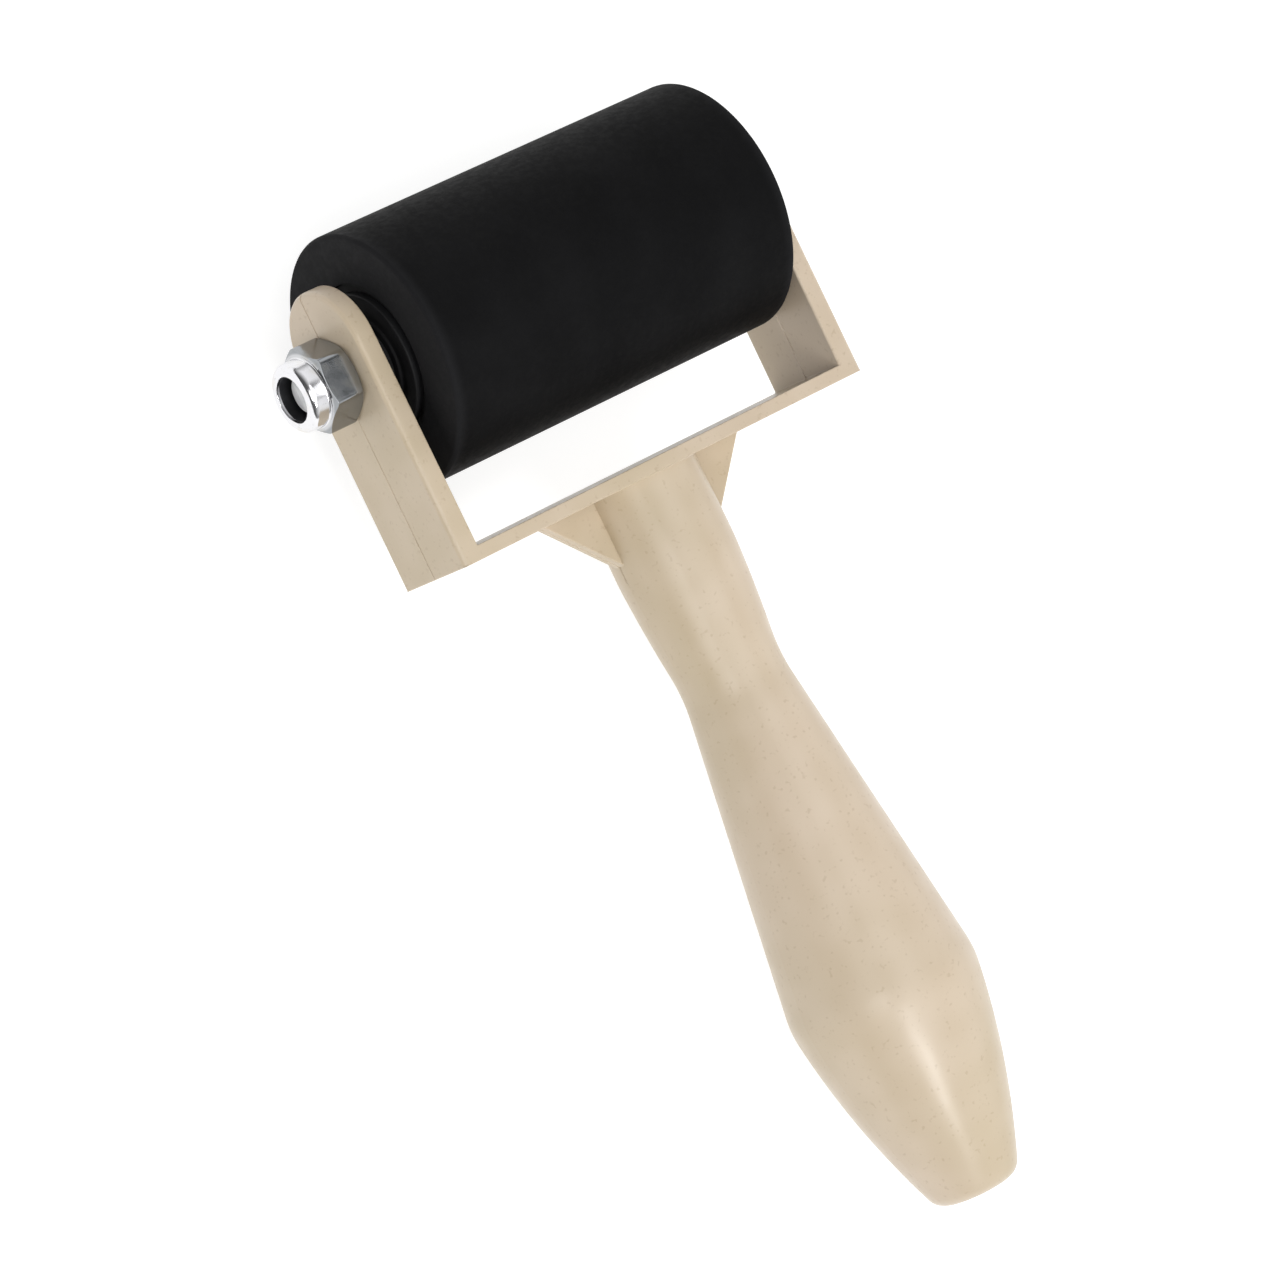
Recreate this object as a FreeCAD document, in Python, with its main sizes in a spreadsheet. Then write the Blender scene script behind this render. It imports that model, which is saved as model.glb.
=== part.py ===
import FreeCAD, Part
import math
import os
import Sketcher

# Rubber brayer: a hand roller for spreading ink and pressing paper down.
#
# A one-piece plastic handle ends in a yoke. A domed bolt passes through both arms of the yoke
# and is held by a lock nut. The roller, a rubber sleeve on a stiff core with a bearing plug in
# each end, turns on the bolt between two thrust washers.
#
# Frame of the model: the origin is the roller's centre. X runs along the axle, with the nut at
# -X and the bolt's head at +X. Y runs from the handle to the roller. Z is up when the brayer
# lies flat.

# Driving sizes in millimetres: the name of the cell, its value and what it measures.
SIZES = (
    ("roller_width", 60.4, "rubber sleeve, end to end"),
    ("roller_diameter", 36.8, "over the rubber"),
    ("rubber_wall", 7.0, "thickness of the rubber"),
    ("rubber_edge", 0.6, "rounding of the rubber's two end edges"),
    ("core_wall", 3.0, "thickness of the core tube"),
    ("core_recess", 1.0, "how far the core ends inside the rubber"),
    ("plug_length", 14.0, "part of a bearing plug inside the core"),
    ("flange_overlap", 1.6, "how far a plug's flange covers the core's end"),
    ("flange_proud", 0.3, "how far a plug's flange stands out of the rubber's end"),
    ("side_gap", 2.5, "rubber's end to the arm, each side"),
    ("end_play", 0.35, "thrust washer to plug, each side"),
    ("washer_width", 3.0, "thrust washer, from its hole to its outside"),
    ("arm_thickness", 3.3, "arm of the yoke, along the axle"),
    ("arm_depth", 17.6, "arm and crossbar, front to back"),
    ("arm_end_offset", 3.6, "centre of an arm's round end beyond the axle"),
    ("arm_edge", 0.5, "rounding of an arm's outer edges"),
    ("crossbar_gap", 9.7, "rubber to the crossbar"),
    ("crossbar_thickness", 2.0, "crossbar, along the handle"),
    ("gusset_thickness", 2.2, "web between crossbar and neck"),
    ("gusset_reach", 8.9, "web along the crossbar, from the neck outwards"),
    ("gusset_drop", 9.6, "web along the neck"),
    ("neck_diameter", 17.8, "handle at the crossbar"),
    ("shoulder_diameter", 17.6, "handle where the neck starts to narrow"),
    ("waist_diameter", 14.8, "handle at its narrowest"),
    ("belly_diameter", 28.2, "handle at its widest, before rounding"),
    ("butt_diameter", 12.4, "handle's end face, before rounding"),
    ("neck_length", 12.9, "crossbar to shoulder"),
    ("taper_length", 17.0, "shoulder to waist"),
    ("grip_length", 48.7, "waist to belly"),
    ("nose_length", 31.1, "belly to the end face"),
    ("nose_bow", 116.0, "radius of the handle's outline from belly to end face"),
    ("taper_bow", 200.0, "radius of the handle's outline from shoulder to waist"),
    ("waist_round", 25.0, "blend at the waist"),
    ("belly_round", 15.0, "blend at the belly"),
    ("butt_round", 2.6, "blend at the end face"),
    ("axle_diameter", 6.35, "shank of the bolt"),
    ("arm_hole_clearance", 0.15, "radial, bolt to arm"),
    ("bearing_clearance", 0.05, "radial, bolt to bearing plug"),
    ("thread_clearance", 0.03, "radial, bolt to nut"),
    ("bolt_head_diameter", 14.2, "domed head of the bolt"),
    ("bolt_head_height", 3.2, "domed head of the bolt"),
    ("bolt_head_rim", 0.5, "upright rim of the domed head"),
    ("recess_span", 4.6, "cross recess in the head, slot length"),
    ("recess_slot", 1.2, "cross recess in the head, slot width"),
    ("recess_depth", 1.8, "cross recess in the head"),
    ("bolt_tip_recess", 2.0, "bolt's end inside the nut's rim"),
    ("bolt_tip_chamfer", 0.6, "bolt's end"),
    ("nut_hex_height", 5.1, "hexagon of the lock nut"),
    ("nut_collar_wall", 0.7, "collar of the lock nut, around its insert"),
    ("nut_shoulder", 0.6, "collar out to the nut's flats"),
    ("nut_collar_height", 2.8, "round collar of the lock nut"),
    ("nut_rim_round", 1.0, "rolled rim of the collar"),
    ("nut_lip", 0.5, "thickness of the rim over the insert"),
    ("nut_opening_clearance", 0.15, "radial, bolt's end to the rim's opening"),
    ("insert_wall", 1.05, "nylon ring inside the collar"),
    ("hex_chamfer_angle", 30.0, "chamfer of the nut's hexagon, in degrees"),
)

# Places along the axle and the handle that several pieces share.
AXLE_RADIUS = "(Sizes.axle_diameter / 2)"
ROLLER_RADIUS = "(Sizes.roller_diameter / 2)"
CORE_RADIUS = "(%s - Sizes.rubber_wall)" % ROLLER_RADIUS
CORE_BORE_RADIUS = "(%s - Sizes.core_wall)" % CORE_RADIUS
ARM_INSIDE = "(Sizes.roller_width / 2 + Sizes.side_gap)"
ARM_OUTSIDE = "(%s + Sizes.arm_thickness)" % ARM_INSIDE
FLANGE_FACE = "(Sizes.roller_width / 2 + Sizes.flange_proud)"
CROSSBAR_INSIDE = "(%s + Sizes.crossbar_gap)" % ROLLER_RADIUS
CROSSBAR_OUTSIDE = "(%s + Sizes.crossbar_thickness)" % CROSSBAR_INSIDE
THREAD_RADIUS = "(%s + Sizes.thread_clearance)" % AXLE_RADIUS
INSERT_RADIUS = "(%s + Sizes.insert_wall)" % THREAD_RADIUS
COLLAR_RADIUS = "(%s + Sizes.nut_collar_wall)" % INSERT_RADIUS
NUT_ACROSS_FLATS = "(2 * (%s + Sizes.nut_shoulder))" % COLLAR_RADIUS
NUT_HEIGHT = "(Sizes.nut_hex_height + Sizes.nut_collar_height)"

# How a piece drawn about the origin faces once it is in its place on the axle.
AS_DRAWN = FreeCAD.Rotation()
TURNED_ROUND = FreeCAD.Rotation(FreeCAD.Vector(0, 0, 1), 180)

doc = FreeCAD.newDocument("rubber_brayer")


def make_sheet():
    """Put every driving size into the spreadsheet, one named cell each."""
    sheet = doc.addObject("Spreadsheet::Sheet", "Sizes")
    for row, (alias, size, meaning) in enumerate(SIZES, start=1):
        sheet.set("A%d" % row, meaning)
        sheet.set("B%d" % row, str(size))
        sheet.setAlias("B%d" % row, alias)
    doc.recompute()


def size_of(expression):
    """The present value of an expression of sheet cells."""
    return float(doc.Sizes.evalExpression(expression))


def new_body(name, place="0", rotation=AS_DRAWN):
    """A sub-part of its own, moved along the axle to its place."""
    body = doc.addObject("PartDesign::Body", name)
    body.Label = name
    body.Placement = FreeCAD.Placement(FreeCAD.Vector(), rotation)
    body.setExpression("Placement.Base.x", place)
    return body


def new_sketch(body, name, role, offset="0"):
    """A sketch on one of the body's own origin planes, or parallel to it."""
    sketch = body.newObject("Sketcher::SketchObject", name)
    plane = next(item for item in body.Origin.OriginFeatures if item.Role == role)
    sketch.AttachmentSupport = [(plane, "")]
    sketch.MapMode = "FlatFace"
    sketch.setExpression("AttachmentOffset.Base.z", offset)
    return sketch


def pin_down(sketch, curve, point, across, up):
    """Hold a point of a sketch at a place given by two expressions."""
    for kind, expression, axis in (("DistanceX", across, -2), ("DistanceY", up, -1)):
        value = size_of(expression)
        if abs(value) < 1e-9:
            sketch.addConstraint(Sketcher.Constraint("PointOnObject", curve, point, axis))
        else:
            index = sketch.addConstraint(Sketcher.Constraint(kind, -1, 1, curve, point, value))
            sketch.setExpression("Constraints[%d]" % index, expression)


def bowed_side(start, end, radius):
    """An arc that bulges to the right of the way from start to end."""
    chord = end.sub(start)
    rise = math.sqrt(radius ** 2 - (chord.Length / 2) ** 2)
    left = FreeCAD.Vector(-chord.y, chord.x, 0).normalize()
    centre = start.add(end).multiply(0.5).add(left.multiply(rise))
    angles = [math.atan2(point.y - centre.y, point.x - centre.x) for point in (start, end)]
    circle = Part.Circle(centre, FreeCAD.Vector(0, 0, 1), radius)
    return Part.ArcOfCircle(circle, *angles)


def outline(sketch, corners, bows=None):
    """Close an outline through corners, anticlockwise; bows gives the radius of bowed sides."""
    bows = bows or {}
    points = [FreeCAD.Vector(size_of(across), size_of(up), 0) for across, up in corners]
    count = len(points)
    for side in range(count):
        start, end = points[side], points[(side + 1) % count]
        if side in bows:
            sketch.addGeometry(bowed_side(start, end, size_of(bows[side])), False)
        else:
            sketch.addGeometry(Part.LineSegment(start, end), False)
    for side in range(count):
        sketch.addConstraint(Sketcher.Constraint("Coincident", side, 2, (side + 1) % count, 1))
    for side, (across, up) in enumerate(corners):
        pin_down(sketch, side, 1, across, up)
    for side, radius in bows.items():
        index = sketch.addConstraint(Sketcher.Constraint("Radius", side, size_of(radius)))
        sketch.setExpression("Constraints[%d]" % index, radius)


def circle(sketch, radius, across="0", up="0"):
    """A full circle of the given radius."""
    centre = FreeCAD.Vector(size_of(across), size_of(up), 0)
    shape = Part.Circle(centre, FreeCAD.Vector(0, 0, 1), size_of(radius))
    curve = sketch.addGeometry(shape, False)
    index = sketch.addConstraint(Sketcher.Constraint("Radius", curve, size_of(radius)))
    sketch.setExpression("Constraints[%d]" % index, radius)
    pin_down(sketch, curve, 3, across, up)


def hexagon(sketch, across_flats):
    """A hexagon with corners on the sketch's first axis."""
    flat = "%s / 2" % across_flats
    corner = "%s / sqrt(3)" % across_flats
    half = "%s / sqrt(12)" % across_flats
    outline(sketch, (
        (corner, "0"), (half, flat), ("-" + half, flat),
        ("-" + corner, "0"), ("-" + half, "-" + flat), (half, "-" + flat),
    ))


def pad(body, sketch, name, length, backwards=False, symmetric=False):
    """Thicken a sketch into a solid."""
    feature = body.newObject("PartDesign::Pad", name)
    feature.Profile = sketch
    feature.Reversed = backwards
    if symmetric:
        feature.SideType = "Symmetric"
    feature.setExpression("Length", length)
    doc.recompute()
    return feature


def pocket(body, sketch, name, length, backwards=False, symmetric=False):
    """Cut a sketch out of the solid."""
    feature = body.newObject("PartDesign::Pocket", name)
    feature.Profile = sketch
    feature.Reversed = backwards
    if symmetric:
        feature.SideType = "Symmetric"
    feature.setExpression("Length", length)
    doc.recompute()
    return feature


def spin(body, sketch, name, kind, axis):
    """Turn a sketch round one of its own axes, to add (Revolution) or cut (Groove)."""
    feature = body.newObject("PartDesign::" + kind, name)
    feature.Profile = sketch
    feature.ReferenceAxis = (sketch, [axis])
    feature.Angle = 360
    doc.recompute()
    return feature


def edge_names(base, wanted):
    """Names of a feature's edges that pass the test wanted(edge)."""
    return ["Edge%d" % (i + 1) for i, edge in enumerate(base.Shape.Edges) if wanted(edge)]


def round_edges(body, base, name, radius, wanted):
    """Fillet the edges of a feature that pass the test wanted(edge)."""
    feature = body.newObject("PartDesign::Fillet", name)
    feature.Base = (base, edge_names(base, wanted))
    feature.setExpression("Radius", radius)
    doc.recompute()
    return feature


def on_plane(edge, axis, place):
    """Whether an edge lies in the plane where the coordinate axis has the value place."""
    ends = [edge.valueAt(edge.FirstParameter), edge.valueAt(edge.LastParameter)]
    middle = edge.valueAt((edge.FirstParameter + edge.LastParameter) / 2)
    return all(abs(point[axis] - place) < 1e-5 for point in ends + [middle])


def is_circle(edge, radius):
    """Whether an edge is part of a circle of the given radius."""
    return hasattr(edge.Curve, "Radius") and abs(edge.Curve.Radius - radius) < 1e-5


def add_arm(body, side, name):
    """One arm of the yoke: a flat bar with a full-round end and soft outer edges."""
    half_depth = "Sizes.arm_depth / 2"
    inside = ARM_INSIDE if side > 0 else "-" + ARM_INSIDE
    bar = new_sketch(body, name + "_bar_outline", "YZ_Plane", inside)
    outline(bar, (
        ("-" + CROSSBAR_OUTSIDE, "-" + half_depth), ("Sizes.arm_end_offset", "-" + half_depth),
        ("Sizes.arm_end_offset", half_depth), ("-" + CROSSBAR_OUTSIDE, half_depth),
    ))
    pad(body, bar, name + "_bar", "Sizes.arm_thickness", backwards=side < 0)
    end = new_sketch(body, name + "_end_outline", "YZ_Plane", inside)
    circle(end, half_depth, "Sizes.arm_end_offset")
    rounded = pad(body, end, name + "_end", "Sizes.arm_thickness", backwards=side < 0)
    outside = side * size_of(ARM_OUTSIDE)
    root = -size_of(CROSSBAR_OUTSIDE)
    round_edges(
        body, rounded, name + "_soft_edge", "Sizes.arm_edge",
        lambda edge: on_plane(edge, 0, outside) and not on_plane(edge, 1, root),
    )


def add_gusset(body, side, name):
    """A thin web that braces the neck against the crossbar."""
    neck = "Sizes.neck_diameter / 2"
    sign = "" if side > 0 else "-"
    inner = sign + "1 * (%s) / 2" % neck
    outer = sign + "1 * (%s + Sizes.gusset_reach)" % neck
    edge = sign + "1 * (%s)" % neck
    top = "-(%s - Sizes.crossbar_thickness / 2)" % CROSSBAR_OUTSIDE
    under = "-" + CROSSBAR_OUTSIDE
    low = "-(%s + Sizes.gusset_drop)" % CROSSBAR_OUTSIDE
    corners = [(inner, top), (inner, low), (edge, low), (outer, under), (outer, top)]
    if side < 0:
        corners.reverse()
    web = new_sketch(body, name + "_outline", "XY_Plane")
    outline(web, corners)
    pad(body, web, name, "Sizes.gusset_thickness", symmetric=True)


def add_grip(body):
    """The handle, turned about its own axis, with its outline's kinks blended."""
    shoulder = "(%s + Sizes.neck_length)" % CROSSBAR_OUTSIDE
    waist = "(%s + Sizes.taper_length)" % shoulder
    belly = "(%s + Sizes.grip_length)" % waist
    butt = "(%s + Sizes.nose_length)" % belly
    top = "(%s - Sizes.crossbar_thickness / 2)" % CROSSBAR_OUTSIDE
    profile = new_sketch(body, "grip_outline", "XY_Plane")
    outline(profile, (
        ("0", "-" + butt), ("Sizes.butt_diameter / 2", "-" + butt),
        ("Sizes.belly_diameter / 2", "-" + belly), ("Sizes.waist_diameter / 2", "-" + waist),
        ("Sizes.shoulder_diameter / 2", "-" + shoulder), ("Sizes.neck_diameter / 2", "-" + top),
        ("0", "-" + top),
    ), bows={1: "Sizes.nose_bow", 3: "Sizes.taper_bow"})
    solid = spin(body, profile, "grip", "Revolution", "V_Axis")
    for name, distance in (("butt", butt), ("belly", belly), ("waist", waist)):
        place = -size_of(distance)
        solid = round_edges(
            body, solid, name + "_blend", "Sizes.%s_round" % name,
            lambda edge, place=place: on_plane(edge, 1, place),
        )


def make_handle_frame():
    """The moulded handle: crossbar, two arms, two gussets and the grip, in one piece."""
    body = new_body("handle_frame")
    bar = new_sketch(body, "crossbar_outline", "XY_Plane")
    outline(bar, (
        ("-" + ARM_OUTSIDE, "-" + CROSSBAR_OUTSIDE), (ARM_OUTSIDE, "-" + CROSSBAR_OUTSIDE),
        (ARM_OUTSIDE, "-" + CROSSBAR_INSIDE), ("-" + ARM_OUTSIDE, "-" + CROSSBAR_INSIDE),
    ))
    pad(body, bar, "crossbar", "Sizes.arm_depth", symmetric=True)
    add_grip(body)
    add_gusset(body, -1, "gusset_left")
    add_gusset(body, 1, "gusset_right")
    add_arm(body, -1, "arm_left")
    add_arm(body, 1, "arm_right")
    hole = new_sketch(body, "axle_hole_outline", "YZ_Plane")
    circle(hole, "%s + Sizes.arm_hole_clearance" % AXLE_RADIUS)
    pocket(body, hole, "axle_holes", "4 * " + ARM_OUTSIDE, symmetric=True)
    return body


def chamfer_hexagon(body, name, across_flats, face, outwards):
    """Turn the corners of a hexagon off at one of its faces, down to the flats' width."""
    flat = "%s / 2" % across_flats
    beyond = across_flats
    slope = "(%s - %s) * tan(Sizes.hex_chamfer_angle * 1 deg)" % (beyond, flat)
    corners = [(face, flat), (face, beyond), ("%s - %s" % (face, slope), beyond)]
    if not outwards:
        corners = [("%s + %s" % (face, slope), beyond), (face, beyond), (face, flat)]
    cut = new_sketch(body, name + "_outline", "XY_Plane")
    outline(cut, corners)
    spin(body, cut, name, "Groove", "H_Axis")


def make_axle_bolt():
    """Bolt with a low domed head on the right arm; its shank reaches into the nut."""
    body = new_body("axle_bolt", ARM_OUTSIDE)
    head_radius = "(Sizes.bolt_head_diameter / 2)"
    dome = "(Sizes.bolt_head_height - Sizes.bolt_head_rim)"
    bow = "(%s ^ 2 + %s ^ 2) / (2 * %s)" % (head_radius, dome, dome)
    head = new_sketch(body, "head_outline", "XY_Plane")
    outline(head, (
        ("0", "0"), ("Sizes.bolt_head_height", "0"),
        ("Sizes.bolt_head_rim", head_radius), ("0", head_radius),
    ), bows={1: bow})
    spin(body, head, "head", "Revolution", "H_Axis")
    reach = "Sizes.recess_span / 2"
    slot = "Sizes.recess_slot / 2"
    recess = new_sketch(body, "recess_outline", "YZ_Plane", "Sizes.bolt_head_height")
    outline(recess, (
        (reach, "-" + slot), (reach, slot), (slot, slot), (slot, reach),
        ("-" + slot, reach), ("-" + slot, slot), ("-" + reach, slot), ("-" + reach, "-" + slot),
        ("-" + slot, "-" + slot), ("-" + slot, "-" + reach), (slot, "-" + reach), (slot, "-" + slot),
    ))
    pocket(body, recess, "cross_recess", "Sizes.recess_depth")
    length = "(2 * %s + %s - Sizes.bolt_tip_recess)" % (ARM_OUTSIDE, NUT_HEIGHT)
    shank = new_sketch(body, "shank_outline", "YZ_Plane")
    circle(shank, AXLE_RADIUS)
    solid = pad(body, shank, "shank", length, backwards=True)
    tip = body.newObject("PartDesign::Chamfer", "tip_chamfer")
    end = -size_of(length)
    tip.Base = (solid, edge_names(solid, lambda edge: on_plane(edge, 0, end)))
    tip.setExpression("Size", "Sizes.bolt_tip_chamfer")
    doc.recompute()
    return body


def make_lock_nut():
    """Hexagon nut with a round collar whose rim is rolled over the nylon insert."""
    body = new_body("lock_nut", "-" + ARM_OUTSIDE, TURNED_ROUND)
    hexagonal = new_sketch(body, "hex_outline", "YZ_Plane")
    hexagon(hexagonal, NUT_ACROSS_FLATS)
    pad(body, hexagonal, "hex", "Sizes.nut_hex_height")
    chamfer_hexagon(body, "seat_chamfer", NUT_ACROSS_FLATS, "0", False)
    chamfer_hexagon(body, "top_chamfer", NUT_ACROSS_FLATS, "Sizes.nut_hex_height", True)
    collar = new_sketch(body, "collar_outline", "YZ_Plane", "Sizes.nut_hex_height")
    circle(collar, COLLAR_RADIUS)
    solid = pad(body, collar, "collar", "Sizes.nut_collar_height")
    top = size_of(NUT_HEIGHT)
    round_edges(body, solid, "rolled_rim", "Sizes.nut_rim_round", lambda edge: on_plane(edge, 0, top))
    bore = new_sketch(body, "bore_outline", "YZ_Plane")
    circle(bore, THREAD_RADIUS)
    pocket(body, bore, "bore", "Sizes.nut_hex_height", backwards=True)
    seat = new_sketch(body, "insert_seat_outline", "YZ_Plane", "Sizes.nut_hex_height")
    circle(seat, INSERT_RADIUS)
    pocket(body, seat, "insert_seat", "Sizes.nut_collar_height - Sizes.nut_lip", backwards=True)
    opening = new_sketch(body, "opening_outline", "YZ_Plane", "Sizes.nut_hex_height")
    circle(opening, "%s + Sizes.nut_opening_clearance" % AXLE_RADIUS)
    pocket(body, opening, "opening", "Sizes.nut_collar_height", backwards=True)
    return body


def make_ring(name, outer, inner, length, place="0", rotation=AS_DRAWN, symmetric=False):
    """A plain ring about the axle."""
    body = new_body(name, place, rotation)
    section = new_sketch(body, name + "_outline", "YZ_Plane")
    circle(section, outer)
    circle(section, inner)
    pad(body, section, name + "_ring", length, symmetric=symmetric)
    return body


def make_lock_nut_insert():
    """Nylon ring that grips the bolt's thread inside the nut's collar."""
    return make_ring(
        "lock_nut_insert", INSERT_RADIUS, THREAD_RADIUS,
        "Sizes.nut_collar_height - Sizes.nut_lip",
        "-(%s + Sizes.nut_hex_height)" % ARM_OUTSIDE, TURNED_ROUND,
    )


def make_thrust_washer(name, side, rotation):
    """Plastic washer between an arm and the roller; it lies against the arm."""
    thickness = "(%s - %s - Sizes.end_play)" % (ARM_INSIDE, FLANGE_FACE)
    hole = "(%s + Sizes.arm_hole_clearance)" % AXLE_RADIUS
    return make_ring(
        name, hole + " + Sizes.washer_width", hole, thickness,
        "%s(%s - %s)" % (side, ARM_INSIDE, thickness), rotation,
    )


def make_rubber_sleeve():
    """The rubber printing surface, with softened end edges."""
    body = make_ring(
        "rubber_sleeve", ROLLER_RADIUS, CORE_RADIUS, "Sizes.roller_width", symmetric=True
    )
    radius = size_of(ROLLER_RADIUS)
    half = size_of("Sizes.roller_width / 2")
    round_edges(
        body, body.Tip, "soft_ends", "Sizes.rubber_edge",
        lambda edge: is_circle(edge, radius) and abs(abs(edge.CenterOfMass.x) - half) < 1e-5,
    )
    return body


def make_roller_core():
    """The stiff tube that the rubber is bonded to."""
    return make_ring(
        "roller_core", CORE_RADIUS, CORE_BORE_RADIUS,
        "Sizes.roller_width - 2 * Sizes.core_recess", symmetric=True,
    )


def make_bearing_plug(name, place, rotation):
    """Flanged bush pressed into one end of the core; it runs on the bolt."""
    body = new_body(name, place, rotation)
    flange_thickness = "(Sizes.core_recess + Sizes.flange_proud)"
    barrel = new_sketch(body, "barrel_outline", "YZ_Plane")
    circle(barrel, CORE_BORE_RADIUS)
    pad(body, barrel, "barrel", "Sizes.plug_length + " + flange_thickness, backwards=True)
    flange = new_sketch(body, "flange_outline", "YZ_Plane")
    circle(flange, "%s + Sizes.flange_overlap" % CORE_BORE_RADIUS)
    pad(body, flange, "flange", flange_thickness, backwards=True)
    bore = new_sketch(body, "bore_outline", "YZ_Plane")
    circle(bore, "%s + Sizes.bearing_clearance" % AXLE_RADIUS)
    pocket(body, bore, "bore", "Sizes.plug_length + " + flange_thickness)
    return body


def check(bodies):
    """Stop if any object failed, a cut removed nothing or a sub-part isn't one valid solid."""
    for item in doc.Objects:
        if "Invalid" in item.State or "Error" in item.State:
            raise RuntimeError("%s failed: %s" % (item.Label, item.State))
        if item.TypeId in ("PartDesign::Pocket", "PartDesign::Groove"):
            if item.Shape.Volume >= item.BaseFeature.Shape.Volume - 1e-6:
                raise RuntimeError("%s cuts nothing" % item.Label)
    for body in bodies:
        shape = body.Shape
        if shape.isNull() or not shape.isValid() or len(shape.Solids) != 1:
            raise RuntimeError("%s isn't one valid solid" % body.Label)


make_sheet()
sub_parts = [
    make_handle_frame(),
    make_axle_bolt(),
    make_lock_nut(),
    make_lock_nut_insert(),
    make_thrust_washer("thrust_washer_left", "-", TURNED_ROUND),
    make_thrust_washer("thrust_washer_right", "", AS_DRAWN),
    make_rubber_sleeve(),
    make_roller_core(),
    make_bearing_plug("bearing_plug_left", "-" + FLANGE_FACE, TURNED_ROUND),
    make_bearing_plug("bearing_plug_right", FLANGE_FACE, AS_DRAWN),
]
doc.recompute()
check(sub_parts)

os.makedirs("parts", exist_ok=True)
for sub_part in sub_parts:
    sub_part.Shape.exportStep("parts/%s.step" % sub_part.Label)
    print("%s: %.1f mm3" % (sub_part.Label, sub_part.Shape.Volume))
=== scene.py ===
import math

import bmesh
import bpy
from mathutils import Matrix, Vector


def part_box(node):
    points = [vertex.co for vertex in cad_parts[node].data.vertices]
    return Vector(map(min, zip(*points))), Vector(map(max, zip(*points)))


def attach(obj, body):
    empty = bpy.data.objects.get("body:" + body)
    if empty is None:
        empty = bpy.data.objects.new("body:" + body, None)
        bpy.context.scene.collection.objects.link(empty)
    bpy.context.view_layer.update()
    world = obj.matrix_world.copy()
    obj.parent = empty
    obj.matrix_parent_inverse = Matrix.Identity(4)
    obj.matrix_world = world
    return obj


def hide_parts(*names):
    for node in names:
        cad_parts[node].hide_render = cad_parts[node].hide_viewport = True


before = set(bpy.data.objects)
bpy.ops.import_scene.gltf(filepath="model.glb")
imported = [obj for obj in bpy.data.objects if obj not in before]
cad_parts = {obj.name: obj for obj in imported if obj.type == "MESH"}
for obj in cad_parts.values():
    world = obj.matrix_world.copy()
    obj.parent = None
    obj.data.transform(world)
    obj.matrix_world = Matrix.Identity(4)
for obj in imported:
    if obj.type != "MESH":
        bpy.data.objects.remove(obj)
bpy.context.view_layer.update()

# ------------------------------------------------------------------------------------
# Handle and yoke. One moulding in warm beige plastic: a turned grip, two thin gussets, a
# flat crossbar and two arms with round ends. The mould's halves meet at mid depth, which
# leaves a fine line down the arms and a fainter one along the grip.
# ------------------------------------------------------------------------------------
MM = 0.001
handle_low, handle_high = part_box("handle_frame")
roller_low, roller_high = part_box("rubber_sleeve")

ARM_OUTER = handle_high.x
ARM_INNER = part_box("thrust_washer_right")[1].x
ARM_HALF_DEPTH = 8.8 * MM
ARM_END = handle_high.y
ARM_HOLE = 3.325 * MM
ARM_DRAFT = 0.014
CROSSBAR_TOP = roller_low.y - 9.7 * MM
CROSSBAR_BOTTOM = CROSSBAR_TOP - 2.0 * MM
GUSSET_HALF = 1.1 * MM
GUSSET_REACH = 8.9 * MM
GUSSET_DROP = 9.6 * MM
# Corners of the grip's outline: distance behind the axle, and half width there.
NECK = (-CROSSBAR_BOTTOM, 8.9 * MM)
SHOULDER = (43.0 * MM, 8.8 * MM)
WAIST = (60.0 * MM, 7.4 * MM)
BELLY = (108.7 * MM, 14.1 * MM)
BUTT = (-handle_low.y, 6.2 * MM)
NECK_RELIEF = 0.075
NECK_RELIEF_LENGTH = 12 * MM
NECK_ROOT = 2 * MM
TAPER_BOW = 200 * MM
NOSE_BOW = 116 * MM
WAIST_BLEND = 0.87 * MM
BELLY_BLEND = 0.46 * MM
BUTT_ROUND = 2.6 * MM
ARM_EDGE = 0.9 * MM
ARM_INSIDE_EDGE = 0.35 * MM
CROSSBAR_EDGE = 0.2 * MM
ROOT_FILLET = 0.25 * MM
PARTING_HALF = 0.16 * MM
PARTING_DEPTH = 0.24 * MM
GRIP_FLASH = 0.02 * MM
GRIP_STEPS = 112
GRIP_ROWS = 132
BUTT_BENDS = 9
ARM_END_BENDS = 40
AXLE_HOLE_STEPS = 64
EDGE_BENDS = 4
HOLE_MARGIN = 1.05
ON_PLANE = 1e-7
COPLANAR = math.radians(0.05)
CORNER = math.radians(25)
HANDLE_CREASE_DEGREES = 22
SUNK = 1.0 * MM
SPARE = 6.0 * MM


def as_piece(name, shape):
    """Turns a finished bmesh into an object in the scene."""
    bmesh.ops.recalc_face_normals(shape, faces=shape.faces)
    mesh = bpy.data.meshes.new(name)
    shape.to_mesh(mesh)
    shape.free()
    piece = bpy.data.objects.new(name, mesh)
    bpy.context.scene.collection.objects.link(piece)
    return piece


def block(name, outline, low, high, place, taper=1.0):
    """A closed block: a flat outline carried from low to high, drawn in by taper on the way."""
    shape = bmesh.new()
    ends = [
        [shape.verts.new(place(u * size, v * size, at)) for u, v in outline]
        for at, size in ((low, 1.0), (high, taper))
    ]
    for end in ends:
        shape.faces.new(end)
    for i in range(len(outline)):
        shape.faces.new((ends[0][i - 1], ends[0][i], ends[1][i], ends[1][i - 1]))
    return as_piece(name, shape)


def along_x(along, radius, angle):
    return Vector((along, radius * math.cos(angle), radius * math.sin(angle)))


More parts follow.
